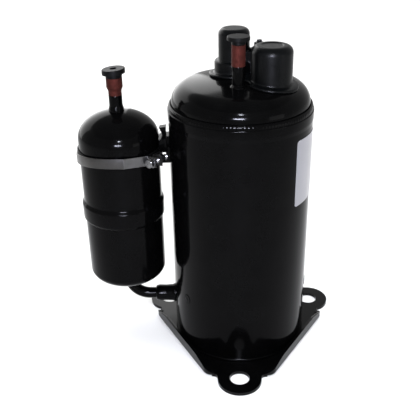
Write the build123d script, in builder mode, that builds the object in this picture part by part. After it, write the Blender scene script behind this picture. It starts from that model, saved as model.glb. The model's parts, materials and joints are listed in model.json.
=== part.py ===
from build123d import *
import math
import os

# Rotary refrigeration compressor with its suction accumulator.
# Millimetres. Z = 0 is the underside of the feet, the shell's axis is Z, the single front foot
# points to -Y and the accumulator stands at -X.

# ---- base plate ----
plate_t = 3.2
foot_circle_r = 87.0
plate_turn = -2.0
foot_angles = (30 + plate_turn, 150 + plate_turn, 270 + plate_turn)
foot_hole_r = 9.2
lug_r = 20.5
lug_root = 58.0
lug_neck_half = 26.0
lug_fillet_r = 4.0
plate_side = 68.5
plate_side_half = 55.0
plate_corner_r = 9.0
flange_h = 12.0
flange_gap_low, flange_gap_high = 24.0, 44.0
flange_cut_depth = 20.0
pan_bend_r = 3.5
plate_opening_r = 45.0

# ---- shell ----
shell_r = 64.5
shell_wall = 3.0
shell_in_r = shell_r - shell_wall
shell_bottom = 5.0
shell_top = 237.8
rim_start = 229.5
rim_bulge = 0.5
weld_h = 5.0
weld_bulge = 2.75
bottom_cap_t = 3.2
bottom_cap_top = 22.0
bottom_dish_r = 38.0
bottom_dish_z = 0.8

# ---- top cap ----
cap_wall = 3.5
cap_skirt_bottom = 226.0
shoulder_z = 243.0
shoulder_r = 17.0
shoulder_end = 80
cap_apex = 264.0

# ---- discharge pipe and its plug ----
discharge_x, discharge_y = -3.0, -24.0
discharge_pipe_r = 5.4
discharge_socket_r = 5.8
discharge_bore_r = 4.9
discharge_bottom = 236.0
discharge_step = 279.0
discharge_top = 298.0
plug_flange_r, plug_flange_t = 9.5, 3.3
suction_flange_r, suction_flange_t = 10.2, 4.5
plug_neck_h = 7.5
discharge_plug_rise, suction_plug_rise = 3.5, 3.2
plug_hole_r = 2.85
plug_gap = 0.05

# ---- terminal cover ----
tower_x, tower_y, tower_r = -5.3, 14.0, 13.7
tower_top, tower_foot_r, tower_foot_top = 303.3, 17.3, 275.7
drum_x, drum_y, drum_r, drum_top = 25.5, -14.5, 17.8, 295.0
drum_recess_r, drum_recess_depth = 9.5, 0.7
boss_x, boss_y, boss_r, boss_top = 16.3, 8.0, 8.5, 287.0
cover_wall = 2.2
cover_gap = 0.3
cover_flange_t = 2.2
tower_flange_r, drum_flange_r, boss_flange_r = 22.0, 23.5, 19.0
stud_r, stud_top, washer_r = 2.5, 294.2, 5.0

# ---- hermetic terminal ----
terminal_r = 11.0
terminal_bottom, terminal_top = 256.5, 264.5
pin_circle_r, pin_r, glass_r = 6.0, 1.15, 2.6
pin_bottom, pin_top = 246.0, 276.0
protector_r, protector_top = 10.5, 279.0

# ---- accumulator ----
acc_x = -110.0
acc_r = 36.5
acc_wall = 2.0
acc_low, acc_high = 77.7, 211.0
acc_bottom_dish, acc_top_dome = 16.3, 24.7
lip_low, lip_high, lip_r = 135.0, 149.0, 38.3
suction_pipe_r, suction_pipe_bore = 5.5, 4.5
standpipe_top = 172.0
suction_z = 41.0
elbow_r = 20.0
sleeve_r = 8.2
inlet_r, inlet_bore_r = 5.9, 5.0
inlet_bottom, inlet_socket_z, inlet_top = 216.0, 256.5, 265.4
inlet_socket_r, inlet_socket_bore = 7.2, 6.4
baffle_z, baffle_t = 177.0, 1.2
screen_z, screen_t, screen_depth = 203.0, 0.6, 15.0

# ---- strap ----
strap_z = 199.6
strap_h = 9.7
strap_t = 1.2
strap_tilt = 10.0
strap_front_y = -37.0
liner_t = 1.4
liner_high = 202.5
clamp_angle = -40
clamp_bolt_end = 14.0
ear_gap = 6.0
ear_length = 12.0

# ---- pump ----
cyl_bore_r = 27.0
cyl_r = 57.0
cyl_low, cyl_high = 27.0, 55.0
eccentricity = 5.0
journal_r = 15.0
running_gap = 0.02
roller_r = cyl_bore_r - eccentricity - running_gap
end_gap = 0.05
main_flange_t = 8.0
main_hub_r, main_hub_top = 15.0, 92.0
sub_flange_t, sub_flange_r = 8.0, 50.0
sub_hub_r, sub_hub_bottom = 14.0, 13.0
shaft_r = 9.0
shaft_bottom, shaft_top = 11.0, 192.0
oil_bore_r = 3.0
vane_angle = 155
vane_w, vane_length, vane_rest_gap = 4.0, 23.0, 0.4
vane_slot_end = 52.0
spring_hole_r = 3.6
bolt_circle_r = 46.0
bolt_angles = (30, 120, 210, 300)
bolt_r, bolt_clear_r = 2.5, 2.8
port_r, port_angle, port_hole_r = 24.0, 125, 3.0
reed_t, reed_w, reed_length = 0.4, 8.0, 27.0
reed_tip, reed_rise = 4.5, 2.9
rivet_along, rivet_r = 18.5, 1.5
muffler_r, muffler_rim_r, muffler_h, muffler_t = 40.0, 51.0, 16.0, 1.2
plug_weld_angles = (96, 217, 354)
plug_weld_z = 59.0
plug_weld_r = 4.5

# ---- motor ----
stack_low, stack_high = 115.0, 185.0
stator_bore_r = 31.5
rotor_r = 30.9
slot_count, slot_in, slot_out, slot_w = 24, 33.5, 47.0, 4.4
liner_film = 0.35
coil_in, coil_out, coil_h = 35.0, 50.0, 19.0
bar_count, bar_circle_r, bar_r = 28, 26.5, 1.8
ring_h, weight_h = 7.0, 12.0

# ---- label ----
label_start, label_end = 315.5, 352.0
label_low, label_high = 159.0, 221.0
label_t = 0.25

main_flange_top = cyl_high + main_flange_t
rest_angle = vane_angle + 180 - 45
pin_dx = eccentricity * math.cos(math.radians(rest_angle))
pin_dy = eccentricity * math.sin(math.radians(rest_angle))
Z_AXIS = Axis((0, 0, 0), (0, 0, 1))

os.makedirs("parts", exist_ok=True)


def save(builder, name):
    builder.part.label = name
    export_step(builder.part, f"parts/{name}.step")


def upright_plane(x, y=0.0, angle=0.0):
    """A vertical plane through (x, y) whose own y is world Z."""
    turn = math.radians(angle)
    return Plane(
        origin=(x, y, 0),
        x_dir=(math.cos(turn), math.sin(turn), 0),
        z_dir=(math.sin(turn), -math.cos(turn), 0),
    )


def vertical_axis(x, y):
    return Axis((x, y, 0), (0, 0, 1))


def polar(radius, angle, z=0.0):
    turn = math.radians(angle)
    return (radius * math.cos(turn), radius * math.sin(turn), z)


def radial_location(radius, angle, z):
    """At a point about the shell's axis, with the local Z pointing away from that axis."""
    return Plane(origin=polar(radius, angle, z), x_dir=(0, 0, 1), z_dir=polar(1, angle)).location


def tube(x, y, outer, inner, low, high):
    """Adds an upright tube, or a solid column where inner is 0, to the part being built."""
    with BuildSketch(Plane((x, y, low))) as section:
        Circle(outer)
        if inner:
            Circle(inner, mode=Mode.SUBTRACT)
    extrude(section.sketch, amount=high - low)


def ring_section(points, axis=Z_AXIS, plane=Plane.XZ):
    """Adds a ring turned from a closed polygon of (radius, height) points."""
    with BuildSketch(plane) as section:
        with BuildLine():
            Polyline(*points, close=True)
        make_face()
    revolve(section.sketch, axis=axis)


def dome_body(rise, floor, mode=Mode.ADD):
    """Everything above floor and under the top cap's outer surface raised by rise."""
    turn = math.radians(shoulder_end)
    corner_r = shell_in_r - shoulder_r
    arc_r = shoulder_r + rise
    crown_r = (corner_r + shoulder_r * math.cos(turn)) / math.cos(turn) + rise
    crown_low = shoulder_z + arc_r * math.sin(turn)
    join_r = corner_r + arc_r * math.cos(turn)
    apex = crown_low + crown_r * (1 - math.sin(turn))
    mid = math.radians((90 + shoulder_end) / 2)
    crown_centre = apex - crown_r
    with BuildSketch(Plane.XZ) as half:
        with BuildLine():
            Polyline((0, floor), (shell_in_r + rise, floor), (shell_in_r + rise, shoulder_z))
            CenterArc((corner_r, shoulder_z), arc_r, 0, shoulder_end)
            ThreePointArc(
                (join_r, crown_low),
                (crown_r * math.cos(mid), crown_centre + crown_r * math.sin(mid)),
                (0, apex),
            )
            Line((0, apex), (0, floor))
        make_face()
    revolve(half.sketch, axis=Z_AXIS, mode=mode)


# ---------------------------------------------------------------- base and shell

def pan_corners():
    points = []
    for side in (90 + plate_turn, 210 + plate_turn, 330 + plate_turn):
        for sign in (1, -1):
            along = polar(plate_side_half * sign, side - 90)
            out = polar(plate_side, side)
            points.append((out[0] + along[0], out[1] + along[1]))
    return points


def make_base_plate():
    """A pressed pan with three upturned sides and three flat round lugs."""
    lug_edge = plate_side * math.cos(math.radians(60)) + plate_side_half * math.sin(math.radians(60))
    with BuildPart() as base_plate:
        with BuildSketch() as pan:
            Polygon(*pan_corners(), align=None)
            fillet(pan.vertices(), plate_corner_r)
        extrude(amount=flange_h)
        fillet(base_plate.faces().sort_by(Axis.Z)[0].edges(), pan_bend_r)
        with BuildSketch(Plane.XY.offset(plate_t)) as hollow:
            Polygon(*pan_corners(), align=None)
            fillet(hollow.vertices(), plate_corner_r)
            offset(amount=-plate_t, mode=Mode.REPLACE)
        extrude(amount=flange_h, mode=Mode.SUBTRACT)
        for angle in foot_angles:
            across = Plane(
                origin=polar(lug_edge - flange_cut_depth, angle), x_dir=polar(1, angle + 90),
                z_dir=polar(1, angle),
            )
            with BuildSketch(across):
                Polygon(
                    (-flange_gap_low, plate_t), (flange_gap_low, plate_t),
                    (flange_gap_high, flange_h + 1), (-flange_gap_high, flange_h + 1), align=None,
                )
            extrude(amount=2 * flange_cut_depth, mode=Mode.SUBTRACT)
            with BuildSketch(Plane.XY.rotated((0, 0, angle))) as lug:
                with Locations(((lug_root + lug_edge) / 2, 0)):
                    Rectangle(lug_edge - lug_root, 2 * lug_neck_half)
                with Locations((foot_circle_r, 0)):
                    Circle(lug_r)
                necks = [v for v in lug.vertices() if abs(v.X - lug_edge) < 0.01 and abs(v.Y) < lug_r]
                fillet(necks, lug_fillet_r)
            extrude(amount=plate_t)
        with PolarLocations(foot_circle_r, 3, start_angle=foot_angles[0]):
            Hole(foot_hole_r)
        Hole(plate_opening_r)
    save(base_plate, "base_plate")


def make_shell_tube():
    with BuildPart() as shell_tube:
        ring_section([
            (shell_in_r, shell_bottom), (shell_r, shell_bottom), (shell_r, rim_start),
            (shell_r + rim_bulge, rim_start + 1.5), (shell_r + rim_bulge, shell_top),
            (shell_in_r, shell_top),
        ])
        with Locations(Location((-shell_r, 0, suction_z), (0, 90, 0))):
            Cylinder(sleeve_r, 20, mode=Mode.SUBTRACT)
        for angle in plug_weld_angles:
            with Locations(radial_location(shell_r, angle, plug_weld_z)):
                Cylinder(plug_weld_r, 20, mode=Mode.SUBTRACT)
    save(shell_tube, "shell_tube")


def make_plug_welds():
    """Weld buttons that fill the shell's holes and hold the main bearing."""
    with BuildPart() as bearing_plug_welds:
        for angle in plug_weld_angles:
            with Locations(radial_location(shell_in_r + 2, angle, plug_weld_z)):
                Cylinder(plug_weld_r, 8)
        tube_cut(shell_in_r, shell_r + 0.6, plug_weld_z - 8, plug_weld_z + 8)
    save(bearing_plug_welds, "bearing_plug_welds")


def tube_cut(inner, outer, low, high):
    """Keeps only what lies between two radii about the shell's axis."""
    with BuildSketch(Plane.XY.offset(low)) as ring:
        Circle(outer)
        Circle(inner, mode=Mode.SUBTRACT)
    extrude(ring.sketch, amount=high - low, mode=Mode.INTERSECT)


def make_bottom_cap():
    """A shallow pressed dish with its skirt inside the shell."""
    t = bottom_cap_t
    corner = 3.5
    with BuildPart() as bottom_cap:
        ring_section([
            (0, bottom_dish_z), (bottom_dish_r, bottom_dish_z), (plate_opening_r - 1.5, plate_t),
            (shell_in_r - corner, plate_t), (shell_in_r, plate_t + corner),
            (shell_in_r, bottom_cap_top), (shell_in_r - t, bottom_cap_top),
            (shell_in_r - t, plate_t + corner + 1), (shell_in_r - corner - 1, plate_t + t),
            (plate_opening_r - 2.7, plate_t + t), (bottom_dish_r - 1, bottom_dish_z + t),
            (0, bottom_dish_z + t),
        ])
    save(bottom_cap, "bottom_cap")


def make_shell_welds():
    with BuildPart() as bottom_weld:
        ring_section([
            (shell_in_r + 0.3, plate_t), (shell_r + 0.8, plate_t), (shell_r + 0.6, shell_bottom),
            (shell_r, shell_bottom + 2), (shell_r, shell_bottom), (shell_in_r + 0.3, shell_bottom),
        ])
    save(bottom_weld, "bottom_weld")
    with BuildPart() as top_weld:
        with BuildSketch(Plane.XZ):
            with BuildLine():
                Polyline(
                    (shell_in_r, shell_top + weld_h), (shell_in_r, shell_top),
                    (shell_r + 0.2, shell_top),
                )
                ThreePointArc(
                    (shell_r + 0.2, shell_top), (shell_in_r + weld_bulge, shell_top + weld_bulge),
                    (shell_in_r, shell_top + weld_h),
                )
            make_face()
        revolve(axis=Z_AXIS)
    save(top_weld, "top_weld")


def make_top_cap():
    """The domed cap, open for the discharge pipe and the hermetic terminal."""
    with BuildPart() as top_cap:
        dome_body(0, cap_skirt_bottom)
        dome_body(-cap_wall, cap_skirt_bottom, Mode.SUBTRACT)
        with BuildSketch(Plane.XY.offset(cap_skirt_bottom)):
            with Locations((discharge_x, discharge_y)):
                Circle(discharge_pipe_r)
            with Locations((drum_x, drum_y)):
                Circle(terminal_r)
        extrude(amount=60, mode=Mode.SUBTRACT)
    save(top_cap, "top_cap")


def make_rating_label():
    with BuildPart() as rating_label:
        with BuildSketch(Plane.XY.offset(label_low)):
            with BuildLine():
                inner = CenterArc((0, 0), shell_r, label_start, label_end - label_start)
                outer = CenterArc((0, 0), shell_r + label_t, label_start, label_end - label_start)
                Line(inner @ 0, outer @ 0)
                Line(inner @ 1, outer @ 1)
            make_face()
        extrude(amount=label_high - label_low)
    save(rating_label, "rating_label")


# ---------------------------------------------------------------- discharge side

def make_discharge_pipe():
    with BuildPart() as discharge_pipe:
        tube(discharge_x, discharge_y, discharge_pipe_r, discharge_bore_r - 0.6,
             discharge_bottom, discharge_step)
        tube(discharge_x, discharge_y, discharge_socket_r, discharge_bore_r,
             discharge_step, discharge_top)
    save(discharge_pipe, "discharge_pipe")
    with BuildPart() as discharge_weld:
        with BuildSketch(upright_plane(discharge_x, discharge_y)):
            with BuildLine():
                Polyline((discharge_pipe_r, 255), (7.2, 255), (7.2, 263.0))
                ThreePointArc((7.2, 263.0), (6.0, 263.9), (discharge_pipe_r, 265.4))
                Line((discharge_pipe_r, 265.4), (discharge_pipe_r, 255))
            make_face()
        revolve(axis=vertical_axis(discharge_x, discharge_y))
        dome_body(0, 200, Mode.SUBTRACT)
    save(discharge_weld, "discharge_weld")


def make_plug(name, x, y, top, bore_r, collar_r, rise, flange_r, flange_t, with_hole):
    """A rubber transport plug: a neck in the pipe's bore, a collar and a round flange."""
    collar_low = top + plug_gap
    flange_low = top + rise
    with BuildPart() as plug:
        tube(x, y, bore_r - plug_gap, 0, top - plug_neck_h, collar_low)
        tube(x, y, collar_r, 0, collar_low, flange_low)
        tube(x, y, flange_r, 0, flange_low, flange_low + flange_t)
        fillet(plug.faces().sort_by(Axis.Z)[-1].edges(), 0.8)
        if with_hole:
            with BuildSketch(Plane((x, y, flange_low + flange_t))):
                Circle(plug_hole_r)
            extrude(amount=-4.5, mode=Mode.SUBTRACT)
    save(plug, name)


# ---------------------------------------------------------------- electrical parts

def tower_profile(x, y, radius, top, edge_r, mode=Mode.ADD):
    """A round column about (x, y), its top edge rounded."""
    with BuildSketch(upright_plane(x, y)) as half:
        with BuildLine():
            Polyline((0, 250), (radius, 250), (radius, top - edge_r))
            CenterArc((radius - edge_r, top - edge_r), edge_r, 0, 90)
            Polyline((radius - edge_r, top), (0, top), (0, 250))
        make_face()
    revolve(half.sketch, axis=vertical_axis(x, y), mode=mode)


def make_terminal_cover():
    """One moulding: a tall tower, a wide drum, the stud's boss and a flange on the dome."""
    with BuildPart() as terminal_cover:
        with BuildSketch(Plane.XY.offset(230)) as outline:
            with Locations((tower_x, tower_y)):
                Circle(tower_flange_r)
            with Locations((drum_x, drum_y)):
                Circle(drum_flange_r)
            with Locations((boss_x, boss_y)):
                Circle(boss_flange_r)
            with Locations((discharge_x, discharge_y)):
                Circle(plug_flange_r + 0.7, mode=Mode.SUBTRACT)
        extrude(amount=60)
        dome_body(cover_gap + cover_flange_t, 200, Mode.INTERSECT)
        tower_profile(tower_x, tower_y, tower_r, tower_top, 5.0)
        tower_profile(tower_x, tower_y, tower_foot_r, tower_foot_top, 1.4)
        tower_profile(drum_x, drum_y, drum_r, drum_top, 6.0)
        tower_profile(boss_x, boss_y, boss_r, boss_top, 1.5)
        with BuildSketch(Plane.XY.offset(250)):
            with Locations((tower_x, tower_y), (boss_x, boss_y)):
                Circle(7)
            make_hull()
        extrude(amount=boss_top - 250 - 2)
        with BuildSketch(Plane.XY.offset(250)):
            with Locations((drum_x, drum_y), (boss_x, boss_y)):
                Circle(7)
            make_hull()
        extrude(amount=boss_top - 250 - 2)
        tower_profile(tower_x, tower_y, tower_r - cover_wall, tower_top - cover_wall, 3, Mode.SUBTRACT)
        tower_profile(drum_x, drum_y, drum_r - cover_wall, drum_top - cover_wall, 4, Mode.SUBTRACT)
        tower_profile(boss_x, boss_y, boss_r - cover_wall, boss_top - cover_wall, 1, Mode.SUBTRACT)
        with BuildSketch(Plane((drum_x, drum_y, drum_top))):
            Circle(drum_recess_r)
        extrude(amount=-drum_recess_depth, mode=Mode.SUBTRACT)
        with BuildSketch(Plane((boss_x, boss_y, 250))):
            Circle(stud_r + cover_gap)
        extrude(amount=60, mode=Mode.SUBTRACT)
        dome_body(cover_gap, 200, Mode.SUBTRACT)
    save(terminal_cover, "terminal_cover")


def make_cover_fastener():
    washer_top = boss_top + 0.9
    with BuildPart() as cover_washer:
        tube(boss_x, boss_y, washer_r, stud_r + 0.2, boss_top, washer_top)
    save(cover_washer, "cover_washer")
    with BuildPart() as cover_nut:
        with BuildSketch(Plane((boss_x, boss_y, washer_top))):
            RegularPolygon(4.6, 6)
            Circle(stud_r + 0.1, mode=Mode.SUBTRACT)
        extrude(amount=4)
    save(cover_nut, "cover_nut")
    with BuildPart() as cover_stud:
        tube(boss_x, boss_y, stud_r, 0, 255, stud_top)
        fillet(cover_stud.faces().sort_by(Axis.Z)[-1].edges(), 0.6)
        dome_body(0, 200, Mode.SUBTRACT)
    save(cover_stud, "cover_stud")


def pin_places():
    return [
        (drum_x + polar(pin_circle_r, a)[0], drum_y + polar(pin_circle_r, a)[1])
        for a in (90, 210, 330)
    ]


def make_hermetic_terminal():
    with BuildPart() as terminal_body:
        with BuildSketch(Plane.XY.offset(terminal_bottom)):
            with Locations((drum_x, drum_y)):
                Circle(terminal_r)
            with Locations(*pin_places()):
                Circle(glass_r, mode=Mode.SUBTRACT)
        extrude(amount=terminal_top - terminal_bottom)
    save(terminal_body, "terminal_body")
    with BuildPart() as terminal_glass:
        with BuildSketch(Plane.XY.offset(terminal_bottom)):
            with Locations(*pin_places()):
                Circle(glass_r)
                Circle(pin_r, mode=Mode.SUBTRACT)
        extrude(amount=terminal_top - terminal_bottom)
    save(terminal_glass, "terminal_glass")
    with BuildPart() as terminal_pins:
        with BuildSketch(Plane.XY.offset(pin_bottom)):
            with Locations(*pin_places()):
                Circle(pin_r)
        extrude(amount=pin_top - pin_bottom)
    save(terminal_pins, "terminal_pins")
    with BuildPart() as terminal_gasket:
        tube(drum_x, drum_y, terminal_r + 4, terminal_r + 0.3, 250, 265)
        dome_body(0, 200, Mode.SUBTRACT)
    save(terminal_gasket, "terminal_gasket")


def make_protector():
    """The overload protector that rests on the dome, and the spring that presses it down."""
    with BuildPart() as overload_protector:
        tube(tower_x, tower_y, protector_r, 0, 255, protector_top)
        fillet(overload_protector.faces().sort_by(Axis.Z)[-1].edges(), 1.2)
        dome_body(0, 200, Mode.SUBTRACT)
    save(overload_protector, "overload_protector")
    with BuildPart() as protector_tabs:
        with BuildSketch(Plane.XY.offset(protector_top)):
            with Locations((tower_x - 7, tower_y), (tower_x + 7, tower_y)):
                Rectangle(0.8, 6.3)
        extrude(amount=8)
    save(protector_tabs, "protector_tabs")
    with BuildPart() as protector_spring:
        with BuildLine():
            coil = Helix(
                pitch=3.2, height=19.0, radius=4.2, center=(tower_x, tower_y, protector_top + 0.8)
            )
        with BuildSketch(Plane(origin=coil @ 0, z_dir=coil % 0)):
            Circle(0.6)
        sweep(path=coil, is_frenet=True)
    save(protector_spring, "protector_spring")


# ---------------------------------------------------------------- accumulator

def acc_ring(points):
    ring_section(points, axis=vertical_axis(acc_x, 0), plane=upright_plane(acc_x))


def make_accumulator_upper():
    """Top half: a domed cup whose lower lip is expanded over the lower cup."""
    inner = acc_r - acc_wall
    with BuildPart() as accumulator_upper_shell:
        with BuildSketch(upright_plane(acc_x)):
            with BuildLine():
                EllipticalCenterArc((0, acc_high), acc_r, acc_top_dome, 0, arc_size=90)
                Polyline(
                    (0, acc_high + acc_top_dome), (0, lip_low), (lip_r, lip_low),
                    (lip_r, lip_high), (acc_r, lip_high + 3), (acc_r, acc_high),
                )
            make_face()
        revolve(axis=vertical_axis(acc_x, 0))
        with BuildSketch(upright_plane(acc_x)):
            with BuildLine():
                EllipticalCenterArc((0, acc_high), inner, acc_top_dome - acc_wall, 0, arc_size=90)
                Polyline(
                    (0, acc_high + acc_top_dome - acc_wall), (0, lip_low), (acc_r, lip_low),
                    (acc_r, lip_high), (inner, lip_high + 3), (inner, acc_high),
                )
            make_face()
        revolve(axis=vertical_axis(acc_x, 0), mode=Mode.SUBTRACT)
        with BuildSketch(Plane((acc_x, 0, acc_high))):
            Circle(inlet_r)
        extrude(amount=40, mode=Mode.SUBTRACT)
    save(accumulator_upper_shell, "accumulator_upper_shell")


def make_accumulator_lower():
    inner = acc_r - acc_wall
    with BuildPart() as accumulator_lower_shell:
        with BuildSketch(upright_plane(acc_x)):
            with BuildLine():
                EllipticalCenterArc((0, acc_low), acc_r, acc_bottom_dish, 270, arc_size=90)
                Polyline(
                    (acc_r, acc_low), (acc_r, lip_high - 0.5), (inner, lip_high - 0.5),
                    (inner, acc_low),
                )
                EllipticalCenterArc((0, acc_low), inner, acc_bottom_dish - acc_wall, 270, arc_size=90)
                Line((0, acc_low - acc_bottom_dish + acc_wall), (0, acc_low - acc_bottom_dish))
            make_face()
        revolve(axis=vertical_axis(acc_x, 0))
        with BuildSketch(Plane((acc_x, 0, 50))):
            Circle(suction_pipe_r)
        extrude(amount=30, mode=Mode.SUBTRACT)
    save(accumulator_lower_shell, "accumulator_lower_shell")
    with BuildPart() as accumulator_weld:
        acc_ring([
            (acc_r, lip_low), (lip_r - 0.2, lip_low), (acc_r + 1.0, lip_low - 1.4),
            (acc_r, lip_low - 2.4),
        ])
    save(accumulator_weld, "accumulator_weld")


def make_accumulator_inlet():
    step = inlet_socket_z - 1.5
    with BuildPart() as accumulator_inlet_pipe:
        acc_ring([
            (inlet_bore_r, inlet_bottom), (inlet_r, inlet_bottom), (inlet_r, step),
            (inlet_socket_r, inlet_socket_z), (inlet_socket_r, inlet_top),
            (inlet_socket_bore, inlet_top), (inlet_socket_bore, inlet_socket_z),
            (inlet_bore_r, step),
        ])
    save(accumulator_inlet_pipe, "accumulator_inlet_pipe")
    collar_low = acc_high + acc_top_dome - 0.3
    with BuildPart() as inlet_collar:
        acc_ring([
            (inlet_r, collar_low), (6.9, collar_low), (6.7, collar_low + 1.6),
            (6.3, collar_low + 4.6), (inlet_r, collar_low + 5.4),
        ])
    save(inlet_collar, "inlet_collar")


def make_accumulator_insides():
    """The strainer under the inlet and the baffle over the standpipe."""
    inner = acc_r - acc_wall
    low = screen_z - screen_depth
    t = screen_t
    with BuildPart() as strainer_screen:
        acc_ring([
            (0, low), (16, low), (27, screen_z), (inner, screen_z), (inner, screen_z + t),
            (27 - t, screen_z + t), (16 - t, low + t), (0, low + t),
        ])
        with BuildSketch(Plane((acc_x, 0, low - 1))):
            for radius, count in ((5, 6), (11, 12)):
                with PolarLocations(radius, count):
                    Circle(1.3)
        extrude(amount=4, mode=Mode.SUBTRACT)
    save(strainer_screen, "strainer_screen")
    with BuildPart() as baffle_plate:
        with BuildSketch(Plane((acc_x, 0, baffle_z))):
            Circle(inner)
            with PolarLocations(24, 6):
                Circle(5, mode=Mode.SUBTRACT)
        extrude(amount=baffle_t)
    save(baffle_plate, "baffle_plate")


def make_suction_pipe():
    """The standpipe, its elbow under the accumulator and the run into the pump."""
    with BuildPart() as suction_pipe:
        with BuildLine() as route:
            FilletPolyline(
                (acc_x, 0, standpipe_top), (acc_x, 0, suction_z), (-cyl_r + 11, 0, suction_z),
                radius=elbow_r,
            )
        with BuildSketch(Plane((acc_x, 0, standpipe_top), z_dir=(0, 0, -1))):
            Circle(suction_pipe_r)
            Circle(suction_pipe_bore, mode=Mode.SUBTRACT)
        sweep(path=route.wires()[0])
    save(suction_pipe, "suction_pipe")


def make_suction_sleeve():
    """The flared sleeve that is brazed round the suction pipe and into the shell."""
    axis = Axis((0, 0, suction_z), (1, 0, 0))
    with BuildPart() as suction_sleeve:
        with BuildSketch(Plane.XZ):
            with BuildLine():
                Polyline(
                    (-58.5, suction_z + suction_pipe_r), (-58.5, suction_z + sleeve_r),
                    (-65.0, suction_z + sleeve_r), (-65.2, suction_z + sleeve_r + 1.2),
                    (-67.5, suction_z + sleeve_r), (-82.0, suction_z + sleeve_r - 0.2),
                    (-84.0, suction_z + sleeve_r - 1.4), (-84.6, suction_z + suction_pipe_r),
                    close=True,
                )
            make_face()
        revolve(axis=axis)
    save(suction_sleeve, "suction_sleeve")


# ---------------------------------------------------------------- strap

def strap_slab(rise=0.0):
    """Keeps only what lies between the strap's two edges, the upper one raised by rise."""
    turn = math.radians(strap_tilt)
    tilted = Plane(
        origin=(acc_x, strap_front_y, strap_z), x_dir=(1, 0, 0), z_dir=(0, math.sin(turn), math.cos(turn))
    )
    with BuildSketch(tilted.offset(-strap_h / 2)) as slab:
        Rectangle(200, 200)
    extrude(slab.sketch, amount=strap_h + rise, mode=Mode.INTERSECT)


def make_strap_liner():
    """A rubber strip inside the band, level along its top edge."""
    with BuildPart() as strap_liner:
        tube(acc_x, 0, acc_r + liner_t, acc_r, liner_high - 40, liner_high)
        strap_slab(30)
    save(strap_liner, "strap_liner")


def make_strap_band():
    """A steel band round the accumulator, a little lower at the back, its ends turned out."""
    inner = acc_r + liner_t
    with BuildPart() as strap_band:
        with BuildSketch(Plane((acc_x, 0, 170))):
            Circle(inner + strap_t)
            with Locations(Location((0, 0, 0), (0, 0, clamp_angle))):
                with Locations((inner + ear_length / 2, 0)):
                    Rectangle(ear_length, ear_gap + 2 * strap_t)
            Circle(inner, mode=Mode.SUBTRACT)
            with Locations(Location((0, 0, 0), (0, 0, clamp_angle))):
                with Locations((inner + ear_length / 2, 0)):
                    Rectangle(ear_length + 4, ear_gap, mode=Mode.SUBTRACT)
        extrude(amount=50)
        strap_slab()
        with Locations(clamp_location(0)):
            Cylinder(2.7, 30, mode=Mode.SUBTRACT)
    save(strap_band, "strap_band")


def clamp_centre():
    out = polar(acc_r + liner_t + 7.0, clamp_angle)
    drop = (out[1] - strap_front_y) * math.tan(math.radians(strap_tilt))
    return (acc_x + out[0], out[1], strap_z - drop)


def clamp_location(along):
    """On the clamp bolt's axis, which runs square to the ears; along is from the middle."""
    x, y, z = clamp_centre()
    turn = math.radians(clamp_angle + 90)
    place = (x + along * math.cos(turn), y + along * math.sin(turn), z)
    return Plane(origin=place, x_dir=(0, 0, 1), z_dir=polar(1, clamp_angle + 90)).location


def make_strap_fasteners():
    outside = ear_gap / 2 + strap_t
    with BuildPart() as strap_washers:
        for side in (-1, 1):
            with Locations(clamp_location(side * (outside + 0.5))):
                Cylinder(4.9, 1.0)
                Cylinder(2.6, 1.0, mode=Mode.SUBTRACT)
    save(strap_washers, "strap_washers")
    with BuildPart() as strap_bolt:
        with Locations(clamp_location((clamp_bolt_end - outside - 3.2) / 2)):
            Cylinder(2.5, clamp_bolt_end + outside + 3.2)
        head = clamp_location(-outside - 1.0)
        with BuildSketch(Plane(head)):
            RegularPolygon(4.6, 6)
        extrude(amount=-3.4)
    save(strap_bolt, "strap_bolt")
    with BuildPart() as strap_nut:
        with BuildSketch(Plane(clamp_location(outside + 1.0))):
            RegularPolygon(4.6, 6)
            Circle(2.5, mode=Mode.SUBTRACT)
        extrude(amount=4.0)
    save(strap_nut, "strap_nut")


def make_strap_bracket():
    """The holder welded to the shell: two saddle shelves, a back plate and a raised tab."""
    clear = acc_r + liner_t + strap_t + 0.3
    shelves = ((186.5, 189.0, 6.0), (199.0, 203.5, 11.5))
    with BuildPart() as strap_bracket:
        for low, high, half in shelves:
            with BuildSketch(Plane.XY.offset(low)):
                with Locations((-70, 0)):
                    Rectangle(20, 2 * half)
                Circle(shell_r, mode=Mode.SUBTRACT)
                with Locations((acc_x, 0)):
                    Circle(clear, mode=Mode.SUBTRACT)
            extrude(amount=high - low)
        with BuildSketch(Plane.XY.offset(shelves[0][0])):
            with Locations((-64, 0)):
                Rectangle(7, 12)
            Circle(shell_r, mode=Mode.SUBTRACT)
        extrude(amount=26)
        with BuildSketch(Plane.XY.offset(shelves[1][1] - 0.5)):
            with Locations((-69.6, -6)):
                Rectangle(7.2, 16)
        extrude(amount=9.5)
        with BuildSketch(Plane.XZ.offset(-3.5)):
            Polygon((-73.0, 219.5), (-66.6, 220.5), (-67.0, 212), (-70.0, 212), align=None)
        extrude(amount=7)
    save(strap_bracket, "strap_bracket")


# ---------------------------------------------------------------- pump

def bolt_holes(radius, low, high):
    with BuildSketch(Plane.XY.offset(low)) as holes:
        with Locations(*[polar(bolt_circle_r, a) for a in bolt_angles]):
            Circle(radius)
    extrude(holes.sketch, amount=high - low, mode=Mode.SUBTRACT)


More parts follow.
